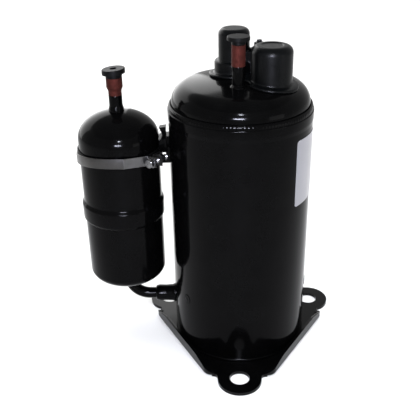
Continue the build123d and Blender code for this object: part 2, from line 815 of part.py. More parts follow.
def make_cylinder_block():
    with BuildPart() as cylinder_block:
        tube(0, 0, cyl_r, cyl_bore_r, cyl_low, cyl_high)
        bolt_holes(bolt_clear_r, cyl_low, cyl_high)
        with BuildSketch(Plane.XY.offset(cyl_low).rotated((0, 0, vane_angle))):
            with Locations(((20 + vane_slot_end) / 2, 0)):
                Rectangle(vane_slot_end - 20, vane_w + 2 * running_gap)
        extrude(amount=cyl_high - cyl_low, mode=Mode.SUBTRACT)
        middle = (cyl_low + cyl_high) / 2
        with Locations(radial_location(vane_slot_end + 2, vane_angle, middle)):
            Cylinder(spring_hole_r, 14, mode=Mode.SUBTRACT)
        with Locations(Location((-cyl_r + 5.5, 0, suction_z), (0, 90, 0))):
            Cylinder(suction_pipe_r, 11, mode=Mode.SUBTRACT)
        with Locations(Location((-36, 0, suction_z), (0, 90, 0))):
            Cylinder(suction_pipe_bore, 24, mode=Mode.SUBTRACT)
    save(cylinder_block, "cylinder_block")


def make_main_bearing():
    with BuildPart() as main_bearing:
        tube(0, 0, shell_in_r, shaft_r + running_gap, cyl_high, main_flange_top)
        tube(0, 0, main_hub_r, shaft_r + running_gap, main_flange_top, main_hub_top)
        bolt_holes(bolt_clear_r, cyl_high, main_flange_top)
        with BuildSketch(Plane.XY.offset(cyl_high)):
            with Locations(polar(port_r, port_angle)):
                Circle(port_hole_r)
            with PolarLocations(55, 6, start_angle=60):
                SlotOverall(14, 6, rotation=90)
        extrude(amount=main_flange_t, mode=Mode.SUBTRACT)
    save(main_bearing, "main_bearing")


def make_sub_bearing():
    with BuildPart() as sub_bearing:
        tube(0, 0, sub_flange_r, shaft_r + running_gap, cyl_low - sub_flange_t, cyl_low)
        tube(0, 0, sub_hub_r, shaft_r + running_gap, sub_hub_bottom, cyl_low - sub_flange_t)
        bolt_holes(bolt_r, cyl_low - sub_flange_t, cyl_low)
    save(sub_bearing, "sub_bearing")


def make_pump_bolts():
    seat = main_flange_top + muffler_t
    with BuildPart() as pump_bolts:
        with BuildSketch(Plane.XY.offset(cyl_low - sub_flange_t)):
            with Locations(*[polar(bolt_circle_r, a) for a in bolt_angles]):
                Circle(bolt_r)
        extrude(amount=seat + 1 - cyl_low + sub_flange_t)
        with BuildSketch(Plane.XY.offset(seat)):
            with Locations(*[polar(bolt_circle_r, a) for a in bolt_angles]):
                RegularPolygon(4.6, 6)
        extrude(amount=4)
    save(pump_bolts, "pump_bolts")


def make_muffler():
    t = muffler_t
    low = main_flange_top
    with BuildPart() as muffler_cover:
        ring_section([
            (muffler_r - t, low), (muffler_rim_r, low), (muffler_rim_r, low + t),
            (muffler_r, low + t), (muffler_r - 5, low + muffler_h), (main_hub_r + 1, low + muffler_h),
            (main_hub_r + 1, low + muffler_h - t), (muffler_r - 5 - t, low + muffler_h - t),
        ])
        bolt_holes(bolt_clear_r, low, low + t)
    save(muffler_cover, "muffler_cover")


def reed_plane(z):
    """Origin over the discharge port, its x pointing along the reed to its clamped end."""
    turn = math.radians(port_angle + 90)
    return Plane(origin=polar(port_r, port_angle, z), x_dir=(math.cos(turn), math.sin(turn), 0))


def make_discharge_valve():
    """The reed over the port, free to lift until it meets the stop above it."""
    low = main_flange_top
    top = low + reed_t
    far_end = reed_length - reed_tip
    stop_t = 1.6
    clamp_top = top + stop_t + 0.9
    with BuildPart() as valve_reed:
        with BuildSketch(reed_plane(low)):
            with Locations((far_end - reed_length / 2, 0)):
                SlotOverall(reed_length, reed_w)
            with Locations((rivet_along, 0)):
                Circle(rivet_r + 0.4, mode=Mode.SUBTRACT)
        extrude(amount=reed_t)
    save(valve_reed, "valve_reed")
    along_reed = reed_plane(0)
    side = Plane(along_reed.origin, x_dir=along_reed.x_dir, z_dir=-along_reed.y_dir)
    with BuildPart() as valve_stop:
        with BuildSketch(side.offset(-reed_w / 2)):
            with BuildLine():
                Polyline(
                    (far_end, top), (-reed_tip + 1, top + reed_rise),
                    (-reed_tip + 1, top + reed_rise + stop_t), (far_end - 8, clamp_top),
                    (far_end, clamp_top), close=True,
                )
            make_face()
        extrude(amount=reed_w)
        with BuildSketch(reed_plane(low)):
            with Locations((rivet_along, 0)):
                Circle(rivet_r)
        extrude(amount=10, mode=Mode.SUBTRACT)
    save(valve_stop, "valve_stop")
    with BuildPart() as valve_rivet:
        with BuildSketch(reed_plane(low)):
            with Locations((rivet_along, 0)):
                Circle(rivet_r)
        extrude(amount=clamp_top - low)
        with BuildSketch(reed_plane(clamp_top)):
            with Locations((rivet_along, 0)):
                Circle(2.8)
        extrude(amount=1.4)
        fillet(valve_rivet.faces().sort_by(Axis.Z)[-1].edges(), 1.0)
    save(valve_rivet, "valve_rivet")


def make_vane():
    height = cyl_high - cyl_low - 2 * end_gap
    with BuildPart() as vane:
        with BuildSketch(Plane.XY.offset(cyl_low + end_gap).rotated((0, 0, vane_angle))):
            with Locations((cyl_bore_r + vane_rest_gap + vane_length / 2, 0)):
                Rectangle(vane_length, vane_w)
        extrude(amount=height)
        tip_edges = vane.edges().filter_by(Axis.Z).sort_by_distance((0, 0, cyl_low + height / 2))[:2]
        fillet(tip_edges, vane_w / 2 - 0.6)
    save(vane, "vane")
    start = cyl_bore_r + vane_rest_gap + vane_length + 0.6
    with BuildPart() as vane_spring:
        with BuildLine():
            coil = Helix(
                pitch=1.7, height=8.6, radius=2.7,
                center=polar(start, vane_angle, (cyl_low + cyl_high) / 2),
                direction=polar(1, vane_angle),
            )
        with BuildSketch(Plane(origin=coil @ 0, z_dir=coil % 0)):
            Circle(0.45)
        sweep(path=coil, is_frenet=True)
    save(vane_spring, "vane_spring")


def make_crankshaft():
    with BuildPart() as crankshaft:
        tube(0, 0, shaft_r, 0, shaft_bottom, shaft_top)
        tube(pin_dx, pin_dy, journal_r, 0, cyl_low + 2, cyl_high - 2)
        with BuildSketch(Plane.XY.offset(shaft_bottom)):
            Circle(oil_bore_r)
        extrude(amount=60, mode=Mode.SUBTRACT)
        with Locations(radial_location(10, rest_angle, suction_z)):
            Cylinder(1.6, 24, mode=Mode.SUBTRACT)
    save(crankshaft, "crankshaft")
    with BuildPart() as oil_paddle:
        with BuildSketch(Plane.XY.offset(shaft_bottom + 0.5)):
            Rectangle(2 * oil_bore_r - 0.3, 0.9)
        extrude(amount=26)
    save(oil_paddle, "oil_paddle")
    with BuildPart() as rolling_piston:
        tube(pin_dx, pin_dy, roller_r, journal_r + running_gap, cyl_low + end_gap, cyl_high - end_gap)
    save(rolling_piston, "rolling_piston")


# ---------------------------------------------------------------- motor

def slot_cells(grow):
    """The slots' outlines, larger by grow on every side."""
    with PolarLocations((slot_in + slot_out) / 2, slot_count):
        Rectangle(slot_out - slot_in + 2 * grow, slot_w + 2 * grow)


def make_stator():
    with BuildPart() as stator_core:
        with BuildSketch(Plane.XY.offset(stack_low)) as lamination:
            Circle(shell_in_r)
            Circle(stator_bore_r, mode=Mode.SUBTRACT)
            with PolarLocations((slot_in + slot_out) / 2, slot_count):
                Rectangle(slot_out - slot_in, slot_w, mode=Mode.SUBTRACT)
            with PolarLocations((stator_bore_r + slot_in) / 2, slot_count):
                Rectangle(slot_in - stator_bore_r + 1.4, 1.8, mode=Mode.SUBTRACT)
            with PolarLocations(shell_in_r, 6, start_angle=30):
                Rectangle(6, 16, mode=Mode.SUBTRACT)
        extrude(amount=stack_high - stack_low)
    save(stator_core, "stator_core")
    with BuildPart() as slot_liners:
        with BuildSketch(Plane.XY.offset(stack_low)):
            slot_cells(0)
            with PolarLocations((slot_in + slot_out) / 2, slot_count):
                Rectangle(
                    slot_out - slot_in - 2 * liner_film, slot_w - 2 * liner_film, mode=Mode.SUBTRACT
                )
        extrude(amount=stack_high - stack_low)
    save(slot_liners, "slot_liners")
    with BuildPart() as stator_windings:
        with BuildSketch(Plane.XY.offset(stack_low)):
            slot_cells(-liner_film)
        extrude(amount=stack_high - stack_low)
        for low in (stack_low - coil_h, stack_high):
            tube(0, 0, coil_out, coil_in, low, low + coil_h)
        ends = stator_windings.edges().filter_by(GeomType.CIRCLE).group_by(Axis.Z)
        fillet(ends[0] + ends[-1], 5)
    save(stator_windings, "stator_windings")


def make_rotor():
    with BuildPart() as rotor_core:
        with BuildSketch(Plane.XY.offset(stack_low)):
            Circle(rotor_r)
            Circle(shaft_r, mode=Mode.SUBTRACT)
            with PolarLocations(bar_circle_r, bar_count):
                Circle(bar_r, mode=Mode.SUBTRACT)
        extrude(amount=stack_high - stack_low)
    save(rotor_core, "rotor_core")
    with BuildPart() as rotor_cage:
        with BuildSketch(Plane.XY.offset(stack_low)):
            with PolarLocations(bar_circle_r, bar_count):
                Circle(bar_r)
        extrude(amount=stack_high - stack_low)
        for low in (stack_low - ring_h, stack_high):
            tube(0, 0, rotor_r - 0.8, 19, low, low + ring_h)
    save(rotor_cage, "rotor_cage")
    with BuildPart() as balance_weights:
        half_ring(stack_high + ring_h, rest_angle + 180)
        half_ring(stack_low - ring_h - weight_h, rest_angle)
    save(balance_weights, "balance_weights")


def half_ring(low, angle):
    """Half a ring on the side that angle points to."""
    with BuildSketch(Plane.XY.offset(low).rotated((0, 0, angle))) as half:
        with BuildLine():
            outer = CenterArc((0, 0), rotor_r - 2, -85, 170)
            inner = CenterArc((0, 0), 20, -85, 170)
            Line(outer @ 0, inner @ 0)
            Line(outer @ 1, inner @ 1)
        make_face()
    extrude(half.sketch, amount=weight_h)


make_base_plate()
make_shell_tube()
make_plug_welds()
make_bottom_cap()
make_shell_welds()
make_top_cap()
make_rating_label()
make_discharge_pipe()
make_plug("discharge_plug", discharge_x, discharge_y, discharge_top, discharge_bore_r,
          discharge_socket_r, discharge_plug_rise, plug_flange_r, plug_flange_t, False)
make_plug("suction_plug", acc_x, 0, inlet_top, inlet_socket_bore,
          inlet_socket_r, suction_plug_rise, suction_flange_r, suction_flange_t, True)
make_terminal_cover()
make_cover_fastener()
make_hermetic_terminal()
make_protector()
make_accumulator_upper()
make_accumulator_lower()
make_accumulator_inlet()
make_accumulator_insides()
make_suction_pipe()
make_suction_sleeve()
make_strap_liner()
make_strap_band()
make_strap_fasteners()
make_strap_bracket()
make_cylinder_block()
make_main_bearing()
make_sub_bearing()
make_pump_bolts()
make_muffler()
make_discharge_valve()
make_vane()
make_crankshaft()
make_stator()
make_rotor()
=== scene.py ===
import bmesh
import bpy
import json
import math
from mathutils import Matrix, Vector, noise


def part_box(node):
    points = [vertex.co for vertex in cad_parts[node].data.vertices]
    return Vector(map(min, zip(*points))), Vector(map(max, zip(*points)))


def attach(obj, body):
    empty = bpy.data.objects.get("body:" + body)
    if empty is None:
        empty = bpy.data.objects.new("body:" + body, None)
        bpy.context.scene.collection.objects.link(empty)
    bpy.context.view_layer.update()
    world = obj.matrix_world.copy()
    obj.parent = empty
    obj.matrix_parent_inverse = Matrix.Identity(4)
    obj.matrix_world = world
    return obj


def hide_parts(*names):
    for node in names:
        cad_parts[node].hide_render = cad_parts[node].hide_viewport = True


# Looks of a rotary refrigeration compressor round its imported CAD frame.
# Lengths in the piece code are millimetres and become metres when a mesh is made.

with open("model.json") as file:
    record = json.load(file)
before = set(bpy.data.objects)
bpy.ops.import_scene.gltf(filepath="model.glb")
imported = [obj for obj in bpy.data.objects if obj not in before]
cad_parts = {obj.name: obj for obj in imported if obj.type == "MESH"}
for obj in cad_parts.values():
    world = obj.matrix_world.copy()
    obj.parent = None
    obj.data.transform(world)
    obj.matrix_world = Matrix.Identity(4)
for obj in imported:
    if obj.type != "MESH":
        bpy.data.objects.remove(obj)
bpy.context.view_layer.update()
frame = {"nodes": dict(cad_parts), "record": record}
scene = bpy.context.scene
MM = 0.001


def node_box(node):
    """A CAD node's lowest and highest corners, in millimetres."""
    low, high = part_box(node)
    return low / MM, high / MM


# ---------------------------------------------------------------- sizes taken from the frame

tube_low, tube_high = node_box("shell_tube")
rim_r = (tube_high.y - tube_low.y) / 2
shell_r = rim_r - 0.5
cap_low, cap_high = node_box("top_cap")
cap_r = (cap_high.y - cap_low.y) / 2
pipe_low, pipe_high = node_box("discharge_pipe")
pipe_x, pipe_y = (pipe_low.x + pipe_high.x) / 2, (pipe_low.y + pipe_high.y) / 2
acc_low, acc_high = node_box("accumulator_lower_shell")
acc_x = (acc_low.x + acc_high.x) / 2
acc_r = (acc_high.y - acc_low.y) / 2
upper_low, upper_high = node_box("accumulator_upper_shell")
lip_r = (upper_high.y - upper_low.y) / 2
inlet_low, inlet_high = node_box("accumulator_inlet_pipe")
sleeve_low, sleeve_high = node_box("suction_sleeve")
suction_z = (sleeve_low.z + sleeve_high.z) / 2
stud_low, stud_high = node_box("cover_stud")

# ---------------------------------------------------------------- shape helpers


def rounded(corners, steps=6):
    """Points of a closed outline whose corners are (u, v) or (u, v, fillet radius)."""
    points = []
    count = len(corners)
    for i, corner in enumerate(corners):
        here = Vector(corner[:2])
        radius = corner[2] if len(corner) > 2 else 0
        before = Vector(corners[i - 1][:2]) - here
        after = Vector(corners[(i + 1) % count][:2]) - here
        if not radius or before.length < 1e-6 or after.length < 1e-6:
            points.append(tuple(here))
            continue
        half = before.angle(after) / 2
        back = min(radius / math.tan(half), before.length * 0.49, after.length * 0.49)
        radius = back * math.tan(half)
        bisector = (before.normalized() + after.normalized()).normalized()
        centre = here + bisector * (radius / math.sin(half))
        first = here + before.normalized() * back - centre
        last = here + after.normalized() * back - centre
        turn = first.angle_signed(last)
        for step in range(steps + 1):
            spot = first.copy()
            spot.rotate(Matrix.Rotation(-turn * step / steps, 2))
            points.append(tuple(centre + spot))
    return points


def new_object(name, vertices, faces, material, sharp=40):
    """A smooth-shaded mesh object from points in millimetres."""
    mesh = bpy.data.meshes.new(name)
    mesh.from_pydata([Vector(v) * MM for v in vertices], [], faces)
    mesh.validate()
    bm = bmesh.new()
    bm.from_mesh(mesh)
    bmesh.ops.remove_doubles(bm, verts=bm.verts, dist=1e-7)
    bmesh.ops.recalc_face_normals(bm, faces=bm.faces)
    bm.to_mesh(mesh)
    bm.free()
    mesh.materials.append(material)
    mesh.shade_smooth()
    mesh.set_sharp_from_angle(angle=math.radians(sharp))
    made = bpy.data.objects.new(name, mesh)
    scene.collection.objects.link(made)
    return made


def settle(made, body, slot, *nodes):
    """Rides a finished piece on its body and hides the CAD nodes it stands in for."""
    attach(made, body)
    if nodes:
        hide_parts(*nodes)
    return made


def lathe(name, outline, material, centre=(0, 0), segments=192, wobble=None, axis="Z", sharp=40):
    """Turns a closed outline of (radius, height) about an upright axis, or about X."""
    vertices, faces = [], []
    count = len(outline)
    for s in range(segments):
        turn = 2 * math.pi * s / segments
        for i, (radius, height) in enumerate(outline):
            if wobble:
                radius, height = wobble(turn, i / count, radius, height)
            a, b = radius * math.cos(turn), radius * math.sin(turn)
            if axis == "Z":
                vertices.append((centre[0] + a, centre[1] + b, height))
            else:
                vertices.append((height, centre[0] + a, centre[1] + b))
        for i in range(count):
            here, there = s * count, ((s + 1) % segments) * count
            j = (i + 1) % count
            faces.append((here + i, there + i, there + j, here + j))
    return new_object(name, vertices, faces, material, sharp)


def stacked(rings, segments):
    """Faces that join rings of points laid one after another, with both ends closed."""
    faces = []
    for i in range(rings - 1):
        for s in range(segments):
            t = (s + 1) % segments
            faces.append((i * segments + s, i * segments + t, (i + 1) * segments + t, (i + 1) * segments + s))
    faces.append(tuple(range(segments))[::-1])
    faces.append(tuple(range((rings - 1) * segments, rings * segments)))
    return faces


def baked(made):
    """Applies a piece's modifiers, so that its mesh is the final one."""
    graph = bpy.context.evaluated_depsgraph_get()
    mesh = bpy.data.meshes.new_from_object(made.evaluated_get(graph))
    made.modifiers.clear()
    made.data = mesh
    return made


def node_copy(name, node):
    """A copy of a CAD node's mesh with its doubled points joined, and a bmesh of it."""
    source = frame["nodes"][node].data
    mesh = bpy.data.meshes.new(name)
    mesh.from_pydata([v.co for v in source.vertices], [], [tuple(p.vertices) for p in source.polygons])
    bm = bmesh.new()
    bm.from_mesh(mesh)
    bmesh.ops.remove_doubles(bm, verts=bm.verts, dist=2e-6)
    return mesh, bm


def from_cad(name, node, material, bevel, sharp=32, segments=3, move=None):
    """A copy of a CAD node with its flat facets merged and its hard edges rounded."""
    mesh, bm = node_copy(name, node)
    bmesh.ops.dissolve_limit(bm, angle_limit=math.radians(1.0), verts=bm.verts, edges=bm.edges)
    bmesh.ops.recalc_face_normals(bm, faces=bm.faces)
    if move:
        for vertex in bm.verts:
            vertex.co = move(vertex.co / MM) * MM
    bm.to_mesh(mesh)
    bm.free()
    mesh.materials.append(material)
    made = bpy.data.objects.new(name, mesh)
    scene.collection.objects.link(made)
    round_off = made.modifiers.new("round", "BEVEL")
    round_off.width = bevel * MM
    round_off.segments = segments
    round_off.limit_method = "ANGLE"
    round_off.angle_limit = math.radians(sharp)
    round_off.use_clamp_overlap = True
    baked(made)
    made.data.shade_smooth()
    made.data.set_sharp_from_angle(angle=math.radians(sharp + 10))
    weighted = made.modifiers.new("normals", "WEIGHTED_NORMAL")
    weighted.keep_sharp = True
    weighted.weight = 80
    return baked(made)


def moulded(name, node, material, voxel, passes):
    """A copy of a CAD node remeshed and relaxed, so that every edge and corner is soft."""
    mesh, bm = node_copy(name, node)
    bm.to_mesh(mesh)
    bm.free()
    made = bpy.data.objects.new(name, mesh)
    scene.collection.objects.link(made)
    grid = made.modifiers.new("grid", "REMESH")
    grid.mode = "VOXEL"
    grid.voxel_size = voxel * MM
    soften = made.modifiers.new("soften", "SMOOTH")
    soften.factor = 0.5
    soften.iterations = passes
    baked(made)
    made.data.materials.clear()
    made.data.materials.append(material)
    made.data.shade_smooth()
    return made


# ---------------------------------------------------------------- material helpers


class Finish:
    """A node-based material in the making: one principled shader and what drives it."""

    def __init__(self, name, metallic=0.0, specular=0.5, coat=0.0, coat_roughness=0.05):
        self.material = bpy.data.materials.new(name)
        self.material.use_nodes = True
        self.tree = self.material.node_tree
        self.shader = self.tree.nodes["Principled BSDF"]
        self.shader.inputs["Metallic"].default_value = metallic
        self.shader.inputs["Specular IOR Level"].default_value = specular
        self.shader.inputs["Coat Weight"].default_value = coat
        self.shader.inputs["Coat Roughness"].default_value = coat_roughness
        self.place = self.tree.nodes.new("ShaderNodeTexCoord").outputs["Object"]
        self.normal = None

    def add(self, kind, **values):
        made = self.tree.nodes.new(kind)
        for key, value in values.items():
            if hasattr(made, key):
                setattr(made, key, value)
            else:
                made.inputs[key.replace("_", " ").title()].default_value = value
        return made

    def link(self, source, target):
        self.tree.links.new(source, target)

    def noise(self, scale, detail=3.0, roughness=0.55, stretch=None):
        made = self.add("ShaderNodeTexNoise", scale=scale, detail=detail, roughness=roughness)
        place = self.place
        if stretch:
            mapping = self.tree.nodes.new("ShaderNodeMapping")
            mapping.inputs["Scale"].default_value = stretch
            self.link(place, mapping.inputs["Vector"])
            place = mapping.outputs["Vector"]
        self.link(place, made.inputs["Vector"])
        return made.outputs["Fac"]

    def ramp(self, source, *stops):
        """stops are (position, value or colour)."""
        made = self.tree.nodes.new("ShaderNodeValToRGB")
        line = made.color_ramp
        while len(line.elements) < len(stops):
            line.elements.new(0.5)
        for element, (position, value) in zip(line.elements, stops):
            element.position = position
            colour = value if isinstance(value, tuple) else (value, value, value)
            element.color = (*colour, 1)
        self.link(source, made.inputs["Fac"])
        return made.outputs["Color"]

    def colour(self, output):
        self.link(output, self.shader.inputs["Base Color"])

    def roughness(self, source, low, high):
        self.link(self.ramp(source, (0.3, low), (0.7, high)), self.shader.inputs["Roughness"])

    def relief(self, height, size, strength=1.0):
        """Adds a bump of the given size in millimetres on top of what is there."""
        made = self.tree.nodes.new("ShaderNodeBump")
        made.inputs["Strength"].default_value = strength
        made.inputs["Distance"].default_value = size * MM
        self.link(height, made.inputs["Height"])
        if self.normal is not None:
            self.link(self.normal, made.inputs["Normal"])
        self.normal = made.outputs["Normal"]
        self.link(self.normal, self.shader.inputs["Normal"])

    def wave(self, scale, direction="Z", distortion=0.0, profile="SIN", kind="BANDS"):
        made = self.tree.nodes.new("ShaderNodeTexWave")
        made.wave_type = kind
        if kind == "BANDS":
            made.bands_direction = direction
        else:
            made.rings_direction = direction
        made.wave_profile = profile
        made.inputs["Scale"].default_value = scale
        made.inputs["Distortion"].default_value = distortion
        made.inputs["Detail"].default_value = 1.0
        self.link(self.place, made.inputs["Vector"])
        return made.outputs["Fac"]

    def cells(self, scale, feature="F1"):
        made = self.tree.nodes.new("ShaderNodeTexVoronoi")
        made.feature = feature
        made.inputs["Scale"].default_value = scale
        self.link(self.place, made.inputs["Vector"])
        return made


def black_paint(name, specular):
    """Baked gloss enamel over pressed steel: faint orange peel, dust nibs and a wavy gloss."""
    paint = Finish(name, specular=specular)
    patches = paint.noise(55, 4)
    paint.colour(paint.ramp(patches, (0.3, (0.0008, 0.0008, 0.0009)), (0.75, (0.0016, 0.0016, 0.0017))))
    paint.roughness(paint.noise(38, 5, 0.6), 0.08, 0.15)
    paint.relief(paint.noise(16, 2), 0.10, 0.35)
    paint.relief(paint.noise(620, 2), 0.004, 0.5)
    nibs = paint.cells(260)
    paint.relief(paint.ramp(nibs.outputs["Distance"], (0.0, 1.0), (0.09, 0.0)), 0.006, 0.25)
    return paint.material


def copper(name, bright, dull):
    metal = Finish(name, metallic=1.0)
    patches = metal.noise(210, 5, 0.62)
    metal.colour(metal.ramp(patches, (0.28, dull), (0.62, bright)))
    metal.roughness(metal.noise(330, 4), 0.70, 0.86)
    metal.relief(metal.noise(900, 3, 0.6, stretch=(1, 1, 0.15)), 0.02, 0.6)
    return metal.material


def rubber(name, tone, specular=0.35):
    soft = Finish(name, specular=specular)
    soft.colour(soft.ramp(soft.noise(260, 5), (0.3, tuple(0.75 * t for t in tone)), (0.75, tone)))
    soft.roughness(soft.noise(500, 4), 0.40, 0.50)
    soft.relief(soft.noise(1800, 3), 0.02, 0.6)
    return soft.material


def moulding(name, tone, low, high, specular=0.4):
    plastic = Finish(name, specular=specular)
    plastic.colour(plastic.ramp(plastic.noise(120, 5), (0.3, tuple(0.7 * t for t in tone)), (0.75, tone)))
    plastic.roughness(plastic.noise(90, 4), low, high)
    plastic.relief(plastic.noise(1500, 2), 0.008, 0.5)
    plastic.relief(plastic.noise(60, 2), 0.05, 0.3)
    return plastic.material


def zinc_steel(name, tone):
    """Zinc-plated strip: spangle, drawing lines and a dull grey bloom."""
    metal = Finish(name, metallic=0.9, specular=0.5)
    bloom = metal.noise(90, 6, 0.6)
    dull = tuple(0.65 * t for t in tone)
    metal.colour(metal.ramp(bloom, (0.3, dull), (0.7, tone)))
    metal.roughness(metal.noise(160, 5), 0.28, 0.38)
    metal.relief(metal.noise(700, 3, 0.6, stretch=(0.12, 0.12, 1)), 0.012, 0.6)
    return metal.material


def steel(name, tone, low=0.25, high=0.42, stretch=None, relief=0.01):
    metal = Finish(name, metallic=1.0)
    metal.colour(metal.ramp(metal.noise(140, 5), (0.3, tuple(0.72 * t for t in tone)), (0.7, tone)))
    metal.roughness(metal.noise(300, 4), low, high)
    metal.relief(metal.noise(900, 3, 0.6, stretch=stretch), relief, 0.6)
    return metal.material


def laminations():
    """The edges and faces of stacked electrical sheet."""
    metal = Finish("lamination_steel", metallic=0.9)
    layers = metal.wave(320, "Z", 0.4)
    metal.colour(metal.ramp(layers, (0.1, (0.10, 0.11, 0.13)), (0.6, (0.28, 0.29, 0.31))))
    metal.roughness(metal.noise(240, 4), 0.35, 0.55)
    metal.relief(layers, 0.05, 0.8)
    return metal.material


def windings():
    """Enamelled wire wound round the stator's axis."""
    wire = Finish("winding_copper", metallic=0.55, coat=0.5, coat_roughness=0.15)
    turns = wire.wave(330, "Z", 2.5, kind="RINGS")
    wire.colour(wire.ramp(turns, (0.1, (0.16, 0.045, 0.015)), (0.7, (0.52, 0.19, 0.07))))
    wire.roughness(wire.noise(300, 3), 0.25, 0.4)
    wire.relief(turns, 0.22, 0.9)
    wire.relief(wire.noise(90, 3), 0.4, 0.4)
    return wire.material


def label_film():
    """Pale glossy film with a slight grain. Nothing is printed on it."""
    film = Finish("label_film", specular=0.5, coat=0.3, coat_roughness=0.1)
    film.colour(film.ramp(film.noise(25, 2), (0.3, (0.205, 0.205, 0.229)), (0.75, (0.22, 0.22, 0.246))))
    film.roughness(film.noise(40, 2), 0.28, 0.36)
    film.relief(film.noise(45, 3), 0.02, 0.4)
    return film.material


def sealing_glass():
    glass = Finish("terminal_glass", specular=0.6, coat=0.6)
    glass.colour(glass.ramp(glass.noise(700, 3), (0.3, (0.02, 0.07, 0.06)), (0.7, (0.05, 0.14, 0.12))))
    glass.roughness(glass.noise(300, 3), 0.08, 0.16)
    glass.relief(glass.noise(500, 2), 0.05, 0.5)
    return glass.material


finishes = {
    "black_paint": black_paint("gloss_black_paint", 0.035),
    "copper": copper("copper", (0.050, 0.0135, 0.0105), (0.027, 0.0087, 0.0068)),
    "winding_copper": windings(),
    "black_rubber": rubber("black_rubber", (0.0030, 0.0031, 0.0033), 0.04),
    "cover_plastic": moulding("cover_plastic", (0.0018, 0.0021, 0.0024), 0.26, 0.36, 0.06),
    "dark_steel": steel("dark_steel", (0.05, 0.05, 0.055), 0.3, 0.45),
    "galvanised_steel": zinc_steel("galvanised_steel", (0.048, 0.0465, 0.045)),
    "bright_zinc": steel("bright_zinc", (0.17, 0.17, 0.175), 0.20, 0.34, None, 0.008),
    "label_film": label_film(),
    "terminal_steel": steel("terminal_steel", (0.50, 0.49, 0.46), 0.2, 0.35),
    "terminal_glass": sealing_glass(),
    "protector_plastic": moulding("protector_plastic", (0.035, 0.028, 0.022), 0.35, 0.5),
    "spring_steel": steel("spring_steel", (0.42, 0.42, 0.43), 0.2, 0.3),
    "machined_iron": steel("machined_iron", (0.24, 0.24, 0.25), 0.25, 0.4, (1, 1, 0.1), 0.006),
    "tool_steel": steel("tool_steel", (0.36, 0.36, 0.37), 0.2, 0.32, (0.1, 0.1, 1), 0.004),
    "sheet_steel": steel("sheet_steel", (0.36, 0.36, 0.37), 0.3, 0.45),
    "lamination_steel": laminations(),
    "cast_aluminium": steel("cast_aluminium", (0.58, 0.58, 0.60), 0.4, 0.6, None, 0.05),
    "brass": steel("brass", (0.55, 0.38, 0.14), 0.25, 0.4),
    "slot_film": moulding("slot_film", (0.60, 0.55, 0.38), 0.35, 0.5),
}
for part in frame["record"]["subparts"]:
    shown = frame["nodes"][part["node"]].data
    shown.materials.clear()
    shown.materials.append(finishes[part["material_slot"]])

paint = finishes["black_paint"]
plate_paint = black_paint("plate_black_paint", 0.11)

# ---------------------------------------------------------------- pieces: shell and dome

shoulder_r, shoulder_z, shoulder_end = 17.0, 243.0, math.radians(80)
cap_wall, shell_wall = 3.5, 3.0
weld_ripples = 132


def dome_arcs(rise):
    """The shoulder's centre radius and arc, and the crown's radius and centre height."""
    corner = cap_r - shoulder_r
    arc = shoulder_r + rise
    crown_r = (corner + shoulder_r * math.cos(shoulder_end)) / math.cos(shoulder_end) + rise
    centre = shoulder_z + arc * math.sin(shoulder_end) - crown_r * math.sin(shoulder_end)
    return corner, arc, crown_r, centre


def dome_side(rise, low):
    """(radius, height) points from low up the dome to its apex, moved outwards by rise."""
    corner, arc, crown_r, centre = dome_arcs(rise)
    points = [(cap_r + rise, low), (cap_r + rise, (low + shoulder_z) / 2)]
    for step in range(17):
        turn = shoulder_end * step / 16
        points.append((corner + arc * math.cos(turn), shoulder_z + arc * math.sin(turn)))
    start = math.pi / 2 - shoulder_end
    for step in range(1, 19):
        turn = start * (1 - step / 18)
        points.append((crown_r * math.sin(turn), centre + crown_r * math.cos(turn)))
    return points


def dome_z(x, y):
    """The dome's height over a point."""
    corner, arc, crown_r, centre = dome_arcs(0)
    reach = math.hypot(x, y)
    if reach <= corner + arc * math.cos(shoulder_end):
        return centre + math.sqrt(crown_r ** 2 - reach ** 2)
    return shoulder_z + math.sqrt(max(arc ** 2 - (reach - corner) ** 2, 0))


def pressed(turn, share, radius, height):
    """The slight unevenness of pressed sheet."""
    spot = Vector((math.cos(turn) * 1.3, math.sin(turn) * 1.3, height * 0.02))
    return radius * (1 - 0.0007 * (1 + noise.noise(spot))), height


def ripple(phase, depth):
    """Scallops of a weld run, uneven in pitch and height."""
    def wobble(turn, share, radius, height):
        drift = 1.6 * noise.noise(Vector((math.cos(turn) * 2.1, math.sin(turn) * 2.1, phase)))
        wave = abs(math.sin(turn * weld_ripples / 2 + drift + phase))
        sink = depth * (1 - wave) * math.sin(math.pi * min(1.0, share * 1.6))
        swell = 0.16 * noise.noise(Vector((math.cos(turn) * 4, math.sin(turn) * 4, phase + 7)))
        return radius - sink * 0.7 + min(swell, 0), height - sink
    return wobble


tube_outline = rounded([
    (shell_r, tube_low.z, 0.8), (shell_r, tube_high.z - 11.0, 6), (rim_r, tube_high.z - 7.5, 3),
    (rim_r, tube_high.z + 0.5, 1.1), (shell_r - shell_wall, tube_high.z + 0.5),
    (shell_r - shell_wall, tube_low.z),
])
settle(lathe("shell_tube_skin", tube_outline, paint, segments=256, wobble=pressed),
       "housing", "black_paint", "shell_tube")

cap_outline = dome_side(0, cap_low.z) + dome_side(-cap_wall, cap_low.z)[::-1]
settle(lathe("top_cap_skin", cap_outline, paint, segments=256, wobble=pressed),
       "housing", "black_paint", "top_cap")

bead = [(cap_r - 0.2, tube_high.z), (rim_r - 0.7, tube_high.z)]
for step in range(9):
    turn = math.radians(-8 + 116 * step / 8)
    bead.append((cap_r + 1.05 + 1.75 * math.cos(turn), tube_high.z + 0.9 + 3.7 * math.sin(turn)))
settle(lathe("top_weld_bead", bead, paint, segments=792, wobble=ripple(0.0, 0.26)),
       "housing", "black_paint", "top_weld")

